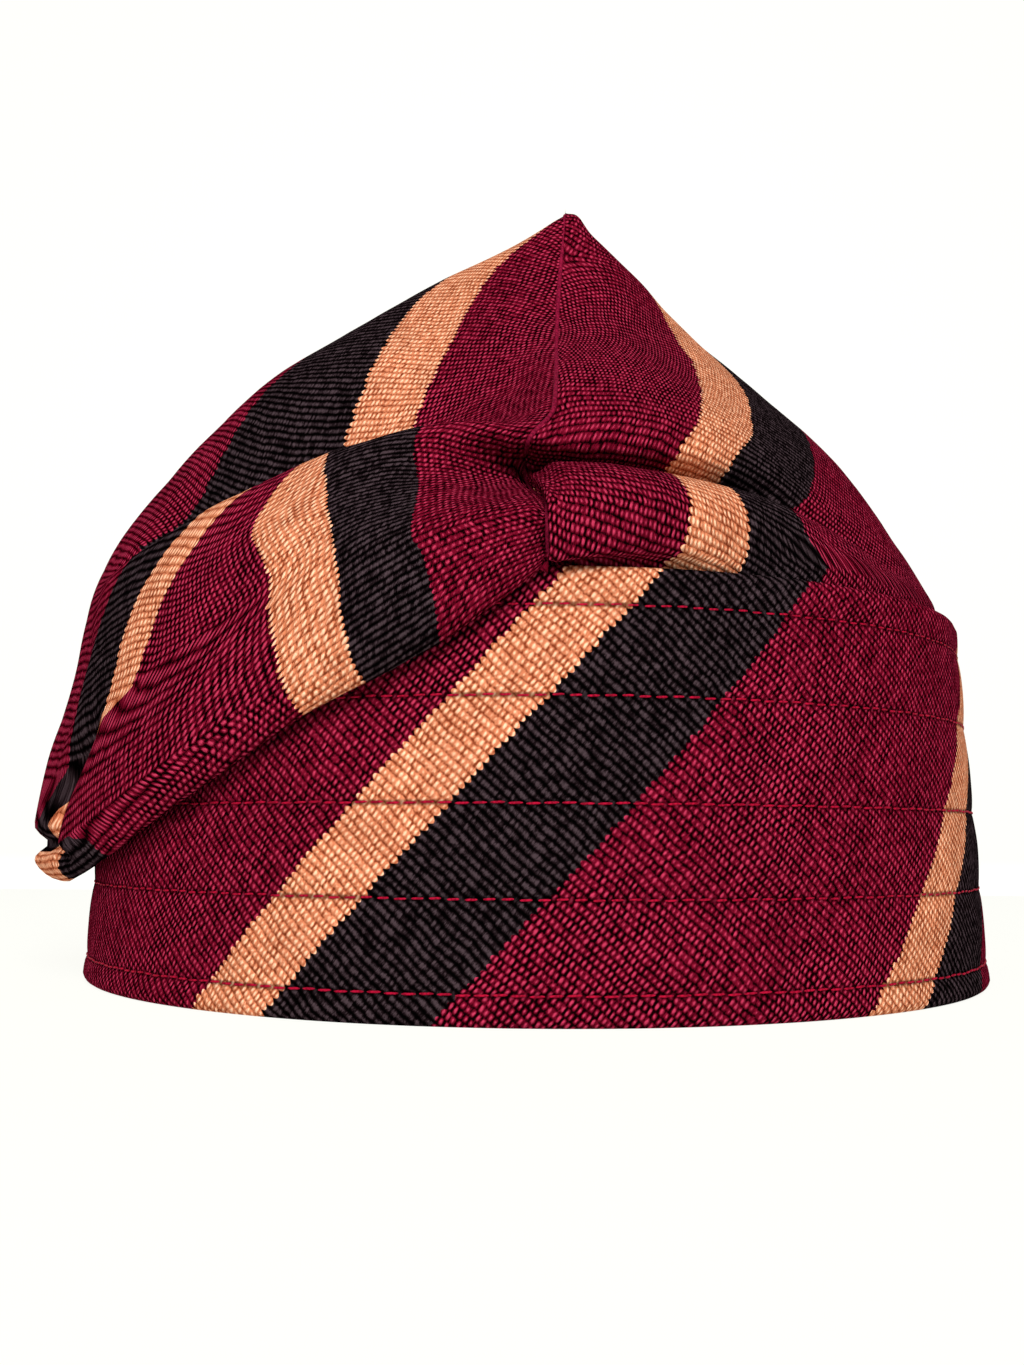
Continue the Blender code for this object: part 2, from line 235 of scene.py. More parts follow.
# The band: its cells round and up, the steps in which a way round it is measured, every how many
# of its levels the inside keeps, its rounded edges and their points, and how deep the join at the
# back is
BAND_TURNS = 360
OVAL_STEPS = 90
BAND_LEVELS = 60
INSIDE_LEVELS = 3
BAND_EDGE = 1.3
BAND_EDGE_POINTS = 9
BAND_JOIN_DEPTH = 0.7

# The quilting, which puffs out between the rows of stitches. The first and the last puff reach a
# little past the band's edges. Cloth with no row has a height far from any.
STITCH_ROWS = (4.6, 18.0, 31.8, 47.5, 61.0)
PAST_EDGE = 2.0
PUFF = 0.55
PUFF_FULLNESS = 0.6
ROW_DENT = 0.45
NO_ROW = 50.0

# The stitches: their length and space, how far they rise and wander, their points, how much later
# each row begins, as a share of a stitch, and the thread's radius, with the share left at its ends
STITCH = 2.1
STITCH_SPACE = 0.5
STITCH_RISE = 0.14
STITCH_WANDER = 0.08
WANDER_PACE = 1.7
STITCH_POINTS = 6
ROW_SHIFT = 0.37
THREAD = 0.19
THREAD_END = 0.45

# The seam of the crown: its valley, the cord of turned-in cloth in it, which takes a share of the
# peak's rise and has a point at each of some angles along the crest, the blunt tip that the right
# half makes, and the right half's rolled edge near the band with the gap beside it
VALLEY_DEPTH = 0.45
VALLEY_WIDTH = 1.3
SEAM_CORD = 0.42
SEAM_CORD_SUNK = 0.6
SEAM_CORD_RISE = 0.5
CREST_ANGLES = range(24, 172, 4)
PEAK_RISE = 1.2
PEAK_PLACE = Vector((0.0, -38.5, 143.0))
PEAK_SIZE = 9.0
TIP_RISE = 1.5
TIP_PLACE = Vector((3.0, -38.5, 142.0))
TIP_SIZE = 2.3
ROLLED_EDGE = 1.0
ROLLED_EDGE_PLACE = 0.9
ROLLED_EDGE_GAP = 1.0
ROLLED_EDGE_HEIGHTS = (66.0, 87.0)
ROLLED_EDGE_FADE = 3.0

# Colours, as linear red, green and blue: of the gaps, darkened as painted shade between the threads, of the
# body, and of the grains' tops, brightened as painted highlights
PEACH = ((0.20, 0.036, 0.012), (0.57, 0.180, 0.083), (0.95, 0.53, 0.33))
BLACK = ((0.0006, 0.0004, 0.0004), (0.0085, 0.0045, 0.0055), (0.056, 0.036, 0.042))
MAROON = ((0.0035, 0.0002, 0.0006), (0.136, 0.0027, 0.0138), (0.44, 0.031, 0.079))
THREAD_RED = (0.36, 0.0035, 0.026)
SEAM_RED = (0.2, 0.005, 0.028)
STAGE_COLOUR = (0.08, 0.08, 0.075)
STAGE_GLOW = (0.93, 0.93, 0.885)

# Where each ground's gaps, darkened as painted shade, end and its body is full, and where the painted
# highlights on its tops begin and are full, as heights of the weave
PEACH_MARKS = (-0.1, 0.35, 0.5, 1.1)
BLACK_MARKS = (0.25, 0.75, 0.7, 1.2)
MAROON_MARKS = (0.05, 0.6, 0.7, 1.35)

# How much the net of grains and the ribs count in the height of the weave. On maroon ground the
# net is closed in some places and open in others.
PEACH_RELIEF = (0.45, 0.7)
BLACK_RELIEF = (0.08, 1.0)
MAROON_RIBS = 0.8
CLOSED_NET = 0.45
OPEN_NET = 0.75
BUMP_RELIEF = (0.35, 0.8)
BUMP_STRANDS = 0.35
BUMP_STRENGTH = 0.85
BUMP_HEIGHT = 0.45

# How the weave strays, in counts of threads and ribs: how fine and how far
THREAD_STRAY = (0.09, 2.2)
RIB_STRAY = (0.13, 0.9)

# How much single grains and the strands in them differ in height, how many strands lie side by
# side, and how fine they are
GRAIN_DIFFERENCE = 0.55
STRAND_DIFFERENCE = 1.5
STRANDS = 2.6
STRAND_FINENESS = 3.2

# How far a stripe's edge bulges at a rib, in millimetres, where along the rib it is plain, and
# how much single ribs differ
EDGE_BULGE = 0.75
EDGE_PLAIN = 0.62
EDGE_DIFFERENCE = 0.55

# How the cloth's tone and roughness vary, and over what width, in millimetres, and how dark the
# painted shade is in the crease where a row of stitches draws the cloth in
TONE = (0.9, 1.08)
ROUGHNESS = (0.5, 0.72)
ROW_SHADE_WIDTH = (0.15, 0.65)
ROW_SHADE_TONE = 0.35

# Where the camera stood, in millimetres from the middle of the band's rim, its pitch and roll in
# degrees, its focal length and the frame's longer side in pixels, and the sensor in millimetres
CAMERA_PLACE = Vector((-4.9, -320.0, 27.3))
CAMERA_PITCH = 5.6
CAMERA_ROLL = 0.4
FOCAL_PIXELS = 1546.0
FRAME_PIXELS = 1365.0
SENSOR = 36.0


# Shapes shared with the solids

def smooth_value(keys, values, at):
    """Read a smooth curve through the values at their keys; it doesn't overshoot."""
    if at <= keys[0]:
        return values[0]
    if at >= keys[-1]:
        return values[-1]
    last = len(keys) - 1
    i = max(k for k in range(last) if keys[k] <= at)

    def slope(k):
        if k in (0, last):
            low, high = max(k - 1, 0), min(k + 1, last)
            return (values[high] - values[low]) / (keys[high] - keys[low])
        before = (values[k] - values[k - 1]) / (keys[k] - keys[k - 1])
        after = (values[k + 1] - values[k]) / (keys[k + 1] - keys[k])
        if before * after <= 0.0:
            return 0.0
        return 2.0 * before * after / (before + after)

    span = keys[i + 1] - keys[i]
    t = (at - keys[i]) / span
    return (
        values[i] * (1 + 2 * t) * (1 - t) ** 2
        + values[i + 1] * t * t * (3 - 2 * t)
        + slope(i) * span * t * (1 - t) ** 2
        - slope(i + 1) * span * t * t * (1 - t)
    )


def smooth_run(points, steps):
    """Read a smooth curve through points, with a number of steps in each span."""
    count = len(points)
    run = []
    for i in range(count - 1):
        p1, p2 = points[i], points[i + 1]
        p0 = points[i - 1] if i else p1 + (p1 - p2)
        p3 = points[i + 2] if i + 2 < count else p2 + (p2 - p1)
        d1, d2, d3 = ((b - a).length ** 0.5 + 1e-6 for a, b in ((p0, p1), (p1, p2), (p2, p3)))
        for s in range(steps[i]):
            t = d1 + d2 * s / steps[i]
            a1 = p0.lerp(p1, t / d1)
            a2 = p1.lerp(p2, (t - d1) / d2)
            a3 = p2.lerp(p3, (t - d1 - d2) / d3)
            b1 = a1.lerp(a2, t / (d1 + d2))
            b2 = a2.lerp(a3, (t - d1) / (d2 + d3))
            run.append(b1.lerp(b2, (t - d1) / d2))
    run.append(points[-1].copy())
    return run


def oval_reach(angle, height, outward=0.0):
    """Distance from the band's middle to its outer face, at an angle from the front."""
    across = RIM_HALF_WIDTH - BAND_LEAN * height
    along = RIM_HALF_DEPTH - BAND_LEAN * height
    s, c = math.sin(math.radians(angle)), math.cos(math.radians(angle))
    return 1.0 / math.hypot(s / across, c / along) + outward


def polar(angle, reach, height, side):
    """A point at an angle from the front, to the left (side -1) or the right (side 1)."""
    turn = math.radians(angle)
    return Vector((side * reach * math.sin(turn), -reach * math.cos(turn), height))


def fold_row(table, angle):
    """One section of a crown half between the table's rows: a list of pairs."""
    angles = [row[0] for row in table]
    return [
        tuple(smooth_value(angles, [row[column][k] for row in table], angle) for k in (0, 1))
        for column in range(1, len(table[0]))
    ]


def left_section(angle):
    """Points of the left half's section, from the tuck inside the band to the crest."""
    lip, belly, pinch, ridge, crease, shoulder, brow, crest = fold_row(LEFT_FOLDS, angle)
    top = BAND_HEIGHT
    edge = oval_reach(angle, top)
    under_height = 0.5 * (top + lip[1])
    under_out = oval_reach(angle, under_height) - edge + CLEARANCE
    lip_out = oval_reach(angle, lip[1]) - edge + CLEARANCE
    folds = (
        (oval_reach(angle, top - TUCK_DEPTH) - edge - BAND_WALL - CLEARANCE, top - TUCK_DEPTH),
        (-BAND_WALL - CLEARANCE, top - 1.0),
        (-0.5 * BAND_WALL, top + CLEARANCE + 0.6),
        (CLEARANCE, top - 0.3),
        (under_out, under_height),
        (0.5 * (lip_out + lip[0]), lip[1]),
        (lip[0], lip[1] + 3.0),
        belly,
        pinch,
        ridge,
        crease,
        shoulder,
        brow,
    )
    points = [polar(angle, edge + out, up, -1) for out, up in folds]
    points.append(Vector((0.0, crest[0], crest[1])))
    return points


def valley_depth(angle, height):
    """How deep the flap's valleys are at a place on it."""
    round_step = math.radians(FLAP_RADIUS)
    deepest = 0.0
    for valley in FLAP_VALLEYS:
        for start, end in zip(valley, valley[1:]):
            way = Vector(((end[0] - start[0]) * round_step, end[1] - start[1]))
            here = Vector(((angle - start[0]) * round_step, height - start[1]))
            along = min(max(here.dot(way) / way.length_squared, 0.0), 1.0)
            away = (here - way * along).length
            depth = start[2] + (end[2] - start[2]) * along
            width = start[3] + (end[3] - start[3]) * along
            deepest = max(deepest, depth * math.exp(-((away / width) ** 2)))
    return deepest


def left_run(angle, steps):
    """The left half's section as a smooth run of points, with the flap's valleys pressed in."""
    run = smooth_run(left_section(angle), steps)
    low, high = sum(steps[:FLAP_EDGE_SPAN]), sum(steps[:FLAP_EDGE_SPAN + 1])
    for k in range(low, len(run)):
        # the valleys begin on the flap's lower edge, not on the layer beneath
        share = min((k - low) / (high - low), 1.0)
        reach = math.hypot(run[k].x, run[k].y)
        pressed = 1.0 - share * valley_depth(angle, run[k].z) / reach
        run[k].x *= pressed
        run[k].y *= pressed
    return run


def right_section(angle):
    """Points of the right half's section, from the tuck inside the band to the crest."""
    foot, belly, pinch, ridge, crease, shoulder, brow, crest = fold_row(RIGHT_FOLDS, angle)
    top = BAND_HEIGHT
    edge = oval_reach(angle, top)
    inside = -BAND_WALL - CLEARANCE
    # where the foot stands over the band's edge, the cloth first climbs over that edge
    climb = min(max((foot[0] - inside) / BAND_WALL, 0.0), 1.0)
    folds = (
        (oval_reach(angle, top - TUCK_DEPTH) - edge + inside, top - TUCK_DEPTH),
        (inside, top - 1.0),
        (inside + climb * (0.5 * BAND_WALL + CLEARANCE), top + CLEARANCE + 0.6 * climb),
        foot,
        belly,
        pinch,
        ridge,
        crease,
        shoulder,
        brow,
    )
    points = [polar(angle, edge + out, up, 1) for out, up in folds]
    points.append(Vector((0.0, crest[0], crest[1])))
    return points


def right_run(angle, steps):
    """The right half's section as a smooth run of points."""
    return smooth_run(right_section(angle), steps)


def seam_drift(height):
    """How far the seam stands to the right at a height."""
    heights, drifts = zip(*SEAM_SWAY)
    return smooth_value(heights, drifts, height)


# Cloth coordinates

def stripe_distance(edges, lines, folds, angles):
    """Distance across the stripes at each section and fold coordinate, from where their edges run.

    The second result grows all the way round, also where the first one turns back at a join.
    """
    across = np.array([edge[0] for edge in edges], float)
    onward = across[0] + np.concatenate(([0.0], np.cumsum(np.abs(np.diff(across)))))
    colour = np.empty((len(angles), len(folds)))
    steady = np.empty_like(colour)
    for k, fold in enumerate(folds):
        marks = np.array([smooth_value(lines, edge[1], fold) for edge in edges])
        # past the first and the last edge the stripes go on as they ran beside it
        first = (across[1] - across[0]) / (marks[1] - marks[0])
        last = (across[-1] - across[-2]) / (marks[-1] - marks[-2])
        early = np.maximum(marks[0] - angles, 0.0)
        late = np.maximum(angles - marks[-1], 0.0)
        colour[:, k] = np.interp(angles, marks, across) + late * last - early * first
        steady[:, k] = np.interp(angles, marks, onward) + late * abs(last) - early * abs(first)
    return colour, steady


def grid_cells(sections, points):
    """Corner numbers of each cell of a grid."""
    number = np.arange(sections * points).reshape(sections, points)
    a, b, c, d = number[:-1, :-1], number[1:, :-1], number[1:, 1:], number[:-1, 1:]
    return np.stack([a, b, c, d], -1).reshape(-1, 4)


def grid_triangles(sections, points):
    """Corner numbers of the two triangles in each cell of a grid."""
    cells = grid_cells(sections, points)
    return np.concatenate([cells[:, [0, 1, 2]], cells[:, [0, 2, 3]]])


class Slopes:
    """Slopes of values held at the points of a triangle mesh."""

    def __init__(self, points, triangles):
        corners = points[triangles]
        facing = np.cross(corners[:, 1] - corners[:, 0], corners[:, 2] - corners[:, 0])
        doubled = np.maximum(np.linalg.norm(facing, axis=1), TINY)
        opposite = np.roll(corners, -2, axis=1) - np.roll(corners, -1, axis=1)
        self.normal = facing / doubled[:, None]
        self.area = 0.5 * doubled
        self.hats = np.cross(self.normal[:, None, :], opposite) / doubled[:, None, None]
        self.triangles = triangles
        self.count = len(points)
        weight = (self.hats ** 2).sum(-1) * self.area[:, None]
        self.scale = np.bincount(triangles.ravel(), weight.ravel(), minlength=self.count) + TINY

    def of(self, values):
        """The slope on each triangle of values at the points or at the triangles' corners."""
        at_corners = values[self.triangles] if values.ndim == 1 else values
        return np.einsum("tcx,tc->tx", self.hats, at_corners)

    def gathered(self, flow):
        """A field on the triangles, gathered to the points."""
        share = np.einsum("tcx,tx->tc", self.hats, flow) * self.area[:, None]
        return np.bincount(self.triangles.ravel(), share.ravel(), minlength=self.count)

    def fitted(self, wanted, guess, rounds=500, exact=1e-10):
        """Values at the points whose slopes come nearest to the wanted ones, by conjugate gradients."""
        values = guess.copy()
        rest = self.gathered(wanted - self.of(values))
        eased = rest / self.scale
        way = eased.copy()
        size = rest @ eased
        goal = size * exact
        for _ in range(rounds):
            step = self.gathered(self.of(way))
            reach = size / (way @ step)
            values += reach * way
            rest -= reach * step
            eased = rest / self.scale
            following = rest @ eased
            if following < goal:
                break
            way = eased + following / size * way
            size = following
        return values


def weave_coordinates(points, steady, zone_of_fold):
    """Millimetres across and along the stripes at each grid point, as the cloth was woven."""
    sections, count, _ = points.shape
    triangles = grid_triangles(sections, count)
    slopes = Slopes(points.reshape(-1, 3), triangles)
    fold_number = triangles % count
    # a triangle takes its stripes from the zone that its cell lies in
    zone = zone_of_fold[fold_number.min(axis=1)]
    layers = np.stack([layer.reshape(-1) for layer in steady])
    flow = slopes.of(layers[zone[:, None], triangles])
    across = flow / np.maximum(np.linalg.norm(flow, axis=1), TINY)[:, None]
    along = np.cross(slopes.normal, across)
    lengths = np.linalg.norm(np.diff(points, axis=1), axis=2)
    run = np.concatenate([np.zeros((sections, 1)), np.cumsum(lengths, axis=1)], axis=1)
    way_across = slopes.fitted(across, layers[0].copy())
    way_along = slopes.fitted(along, run.reshape(-1))
    return way_across.reshape(sections, count), way_along.reshape(sections, count)


# Meshes

def make_object(name, verts, faces, material, layers=()):
    """A mesh object in millimetres from the band's middle, with UV layers given per corner."""
    mesh = bpy.data.meshes.new(name)
    mesh.from_pydata([tuple(v) for v in verts], [], [tuple(f) for f in faces])
    for layer_name, values in layers:
        layer = mesh.uv_layers.new(name=layer_name)
        layer.data.foreach_set("uv", np.asarray(values, np.float32).ravel())
    mesh.materials.append(material)
    mesh.shade_smooth()
    made = bpy.data.objects.new(name, mesh)
    bpy.context.scene.collection.objects.link(made)
    return made


def settle(piece):
    """Bring a piece from millimetres about the band's middle to its place in the frame."""
    piece.data.transform(Matrix.Translation(BAND_CENTRE * MM) @ Matrix.Scale(MM, 4))
    piece.data.update()


def apply_modifiers(piece):
    """Turn what an object's modifiers make into its own mesh."""
    bpy.context.view_layer.update()
    seen = piece.evaluated_get(bpy.context.evaluated_depsgraph_get())
    made = bpy.data.meshes.new_from_object(seen)
    plain = piece.data
    piece.modifiers.clear()
    piece.data = made
    bpy.data.meshes.remove(plain)
    made.name = piece.name


def ripple(point, size, seed):
    """Smooth noise from -1 to 1 with bumps of a size in millimetres."""
    return noise.noise(Vector(point) / size + Vector((seed, 2.0 * seed, 3.0 * seed)))


def unevenness(point):
    """How far the cloth stands out at a place by its small unevenness."""
    return sum(height * ripple(point, size, size) for height, size in UNEVENNESS)


def grid_normals(points):
    """Unit normals of a grid of points, by the differences to its neighbours."""
    over = np.gradient(points, axis=0)
    along = np.gradient(points, axis=1)
    facing = np.cross(over, along)
    return facing / np.maximum(np.linalg.norm(facing, axis=2), TINY)[..., None]


def seam_rise(place, side):
    """How far the cloth of a half stands up beside the crown's seam."""
    rise = -VALLEY_DEPTH * math.exp(-((place[0] / VALLEY_WIDTH) ** 2))
    low, high = ROLLED_EDGE_HEIGHTS
    if place[1] < 0.0 and low < place[2] < high:
        share = min(place[2] - low, high - place[2], ROLLED_EDGE_FADE) / ROLLED_EDGE_FADE
        if side > 0:
            beside = (place[0] - ROLLED_EDGE_PLACE) / ROLLED_EDGE_PLACE
            rise += share * ROLLED_EDGE * math.exp(-(beside ** 2))
        else:
            rise -= share * ROLLED_EDGE_GAP * math.exp(-((place[0] / VALLEY_WIDTH) ** 2))
    return rise


def peak_rise(place, side):
    """How far the cloth stands up at the crown's blunt peak."""
    rise = PEAK_RISE * math.exp(-(((Vector(place) - PEAK_PLACE).length / PEAK_SIZE) ** 2))
    if side > 0:
        rise += TIP_RISE * math.exp(-(((Vector(place) - TIP_PLACE).length / TIP_SIZE) ** 2))
    return rise


def lobe_roll_rise(angle, fold, side):
    """How far the roll under the right half's lobe stands up."""
    if side < 0 or not LOBE_ROLL_FOLD < fold < LOBE_ROLL_FOLD + 1:
        return 0.0
    angles, heights = zip(*LOBE_ROLL_HEIGHTS)
    return smooth_value(angles, heights, angle) * math.sin(math.pi * (fold - LOBE_ROLL_FOLD))


def make_crown_half(name, section_run, steps, side, zones, material):
    """A crown half: the folded cloth as a fine grid with its woven coordinates, made a wall.

    Each zone has the fold where it begins, its stripes' edges, their fold lines, and the pitch of
    its ribs and of its grains.
    """
    angles = 180.0 * (np.arange(PANEL_SECTIONS + 1) / PANEL_SECTIONS) ** SECTION_CROWDING
    points = np.array([section_run(angle, steps) for angle in angles])
    folds = np.concatenate([i + np.arange(n) / n for i, n in enumerate(steps)] + [[len(steps)]])
    points[:, :, 2] += [[lobe_roll_rise(angle, fold, side) for fold in folds] for angle in angles]
    starts, edges, lines, ribs, grains = zip(*zones)
    laid = [stripe_distance(*table, folds, angles) for table in zip(edges, lines)]
    colours, steady = zip(*laid)
    zone_of_cell = np.searchsorted(starts, folds[:-1], side="right") - 1
    way_across, way_along = weave_coordinates(points, steady, zone_of_cell)

    # small unevenness of the cloth, and what it does beside the seam
    outward = grid_normals(points) * side
    for i, k in np.ndindex(points.shape[:2]):
        place = points[i, k]
        lift = peak_rise(place, side)
        points[i, k] += outward[i, k] * (unevenness(place) + seam_rise(place, side))
        points[i, k, 2] += lift

    cells = grid_cells(*points.shape[:2])
    if side < 0:
        cells = cells[:, ::-1]
    zone = zone_of_cell[(cells % points.shape[1]).min(axis=1)]
    corner_zone = np.repeat(zone[:, None], 4, axis=1)
    stacked = np.stack([colour.reshape(-1) for colour in colours])
    stripes = np.stack([stacked[corner_zone, cells], np.full(cells.shape, NO_ROW)], -1)
    thread = way_across.reshape(-1)[cells] / np.array(grains)[corner_zone]
    rib = way_along.reshape(-1)[cells] / np.array(ribs)[corner_zone]
    weave = np.stack([thread, rib], -1)
    layers = (("stripes", stripes), ("weave", weave))
    half = make_object(name, points.reshape(-1, 3), cells, material, layers)
    wall = half.modifiers.new("wall", "SOLIDIFY")
    wall.thickness = CLOTH
    wall.offset = -1.0
    wall.use_even_offset = False
    apply_modifiers(half)

    # the half stops short of the seam, which then sways to its place
    for vertex in half.data.vertices:
        x = side * max(side * vertex.co.x, 0.5 * SEAM_GAP)
        vertex.co.x = x + seam_drift(vertex.co.z) * math.exp(-((x / SEAM_SWAY_WIDTH) ** 2))
    settle(half)
    return half


def oval_length(angle):
    """Distance round the band at its mid height from the front to an angle."""
    middle = 0.5 * BAND_HEIGHT
    turns = np.linspace(0.0, angle, OVAL_STEPS + 1)
    places = [polar(turn, oval_reach(turn, middle), middle, 1) for turn in turns]
    return sum((b - a).length for a, b in zip(places, places[1:]))


def way_round(turns):
    """Distances round the band from the front to each angle, with the angle's sign."""
    return np.array([math.copysign(oval_length(turn), turn) for turn in turns])


def band_unevenness(angle, height, inset):
    """How far the band's cloth stands out by its unevenness, which fades towards the rim."""
    plain = polar(angle, oval_reach(angle, height, -inset), height, 1)
    return unevenness(plain) * min(1.0, height / CALM_HEIGHT)


def band_outward(height):
    """How far the quilted cloth stands out from the band's plain wall at a height."""
    rows = (-PAST_EDGE, *STITCH_ROWS, BAND_HEIGHT + PAST_EDGE)
    span = max(i for i in range(len(rows) - 1) if rows[i] <= height)
    t = (height - rows[span]) / (rows[span + 1] - rows[span])
    return PUFF * (4.0 * t * (1.0 - t)) ** PUFF_FULLNESS - ROW_DENT


def band_outline():
    """Outline of the band's cloth: inset from the outer face and height, up the outside first."""
    low, high = BAND_EDGE, BAND_HEIGHT - BAND_EDGE
    levels = np.linspace(low, high, BAND_LEVELS)
    over_edge = [
        (0.5 * BAND_WALL * (1.0 - math.cos(turn)), BAND_EDGE * math.sin(turn))
        for turn in np.linspace(0.0, math.pi, BAND_EDGE_POINTS)[1:-1]
    ]
    outline = [(-band_outward(height), height) for height in levels]
    outline += [(across, high + over) for across, over in over_edge]
    outline += [(BAND_WALL, height) for height in levels[::-INSIDE_LEVELS]]
    outline += [(BAND_WALL - across, low - over) for across, over in over_edge]
    outline.append(outline[0])
    return outline


def make_band(material):
    """The quilted band, its outline carried round the tapering oval."""
    outline = band_outline()
    count = len(outline)
    turns = np.linspace(-180.0, 180.0, BAND_TURNS + 1)
    verts = []
    for i, angle in enumerate(turns):
        # the band's ends are joined at the back, in a slight valley
        join = BAND_JOIN_DEPTH * math.exp(-min(i, BAND_TURNS - i))
        for inset, height in outline:
            sunk = join if inset < BAND_WALL else 0.0
            out = band_unevenness(angle, height, inset) - inset - sunk
            verts.append(polar(angle, oval_reach(angle, height, out), height, 1))
    cells = grid_cells(BAND_TURNS + 1, count)
    way = way_round(turns)[cells // count]
    height = np.array(outline)[:, 1][cells % count]
    across = (way - BAND_STRIPE_LEAN * height - BAND_STRIPE_START) * REPEAT / BAND_STRIPE_REPEAT
    along = (BAND_STRIPE_LEAN * way + height) / math.hypot(1.0, BAND_STRIPE_LEAN)
    # each cell takes its height above one row of stitches, the nearest to its lower side
    rows = np.array(STITCH_ROWS)
    nearest = rows[np.abs(height.min(axis=1)[:, None] - rows).argmin(axis=1)]
    stripes = np.stack([across, height - nearest[:, None]], -1)
    weave = np.stack([across / BAND_GRAIN, along / BAND_RIB], -1)
    band = make_object("band_cloth", verts, cells, material, (("stripes", stripes), ("weave", weave)))
    weld = band.modifiers.new("weld", "WELD")
    weld.merge_threshold = 0.001
    apply_modifiers(band)
    settle(band)
    return band


def thread_tube(points, outward, radius, sides=6):
    """Verts and faces of a thread through points, thinner at both ends."""
    points = np.asarray(points, float)
    count = len(points)
    tangent = np.gradient(points, axis=0)
    tangent /= np.linalg.norm(tangent, axis=1)[:, None]
    beside = np.cross(tangent, outward)
    beside /= np.linalg.norm(beside, axis=1)[:, None]
    up = np.cross(beside, tangent)
    ends = np.minimum(np.arange(count), np.arange(count)[::-1])
    girth = radius * np.minimum(1.0, THREAD_END + (1.0 - THREAD_END) * ends)[:, None]
    turns = 2.0 * math.pi * np.arange(sides) / sides
    rings = [points + girth * (math.cos(t) * beside + math.sin(t) * up) for t in turns]
    verts = np.stack(rings, axis=1).reshape(-1, 3)
    number = np.arange(count * sides).reshape(count, sides)
    turned = np.roll(number, -1, axis=1)
    faces = np.stack([number[:-1], turned[:-1], turned[1:], number[1:]], -1).reshape(-1, 4)
    caps = [tuple(number[0]), tuple(number[-1][::-1])]
    return verts, [tuple(face) for face in faces] + caps


def make_threads(name, tubes, material):
    """One mesh of many thread tubes."""
    verts, faces = [], []
    start = 0
    for tube_verts, tube_faces in tubes:
        verts.append(tube_verts)
        faces += [tuple(int(i) + start for i in face) for face in tube_faces]
        start += len(tube_verts)
    piece = make_object(name, np.concatenate(verts), faces, material)
    settle(piece)
    return piece


def band_stitches(material):
    """The rows of running stitches round the band, a tube for each stitch."""
    turns = np.linspace(-180.0, 180.0, 2 * BAND_TURNS + 1)
    lengths = way_round(turns)
    whole = lengths[-1] - lengths[0]
    pace = STITCH + STITCH_SPACE
    tubes = []
    for row, height in enumerate(STITCH_ROWS):
        for number in range(int(whole // pace)):
            start = lengths[0] + pace * (number + ROW_SHIFT * row)
            places = []
            faces_out = []
            for t in np.linspace(0.0, 1.0, STITCH_POINTS):
                angle = float(np.interp(start + STITCH * t, lengths, turns))
                level = height + STITCH_WANDER * (math.sin(WANDER_PACE * number + row) + t - 0.5)
                rise = STITCH_RISE * math.sin(math.pi * t) ** 0.5
                out = band_outward(height) + band_unevenness(angle, level, 0.0) + rise
                places.append(polar(angle, oval_reach(angle, level, out), level, 1))
                faces_out.append(polar(angle, 1.0, 0.0, 1))
            tubes.append(thread_tube(places, np.array(faces_out), THREAD))
    return make_threads("band_stitches", tubes, material)


def seam_cord(material):
    """The turned-in edges that fill the crown's seam, from the band over the crest to the back."""
    lip = sum(LEFT_STEPS[:FLAP_EDGE_SPAN])
    front = left_run(0.0, LEFT_STEPS)[lip:]
    back = left_run(180.0, LEFT_STEPS)[lip:]
    top = [Vector((0.0, *fold_row(LEFT_FOLDS, angle)[-1])) for angle in CREST_ANGLES]
    places = np.array([*front, *top, *reversed(back)])
    tangent = np.gradient(places, axis=0)
    tangent /= np.linalg.norm(tangent, axis=1)[:, None]
    outward = np.stack([np.zeros(len(places)), -tangent[:, 2], tangent[:, 1]], axis=1)
    # beside the rolled edge it lies deeper, and at the peak it rises a little with the cloth
    low = (places[:, 1] < 0.0) & (places[:, 2] < ROLLED_EDGE_HEIGHTS[1])
    places -= (SEAM_CORD_SUNK + ROLLED_EDGE_GAP * low)[:, None] * outward
    places[:, 2] += [SEAM_CORD_RISE * peak_rise(place, -1) for place in places]
    places[:, 0] += [seam_drift(height) for height in places[:, 2]]
    return make_threads("crown_seam", [thread_tube(places, outward, SEAM_CORD, 8)], material)


# Materials

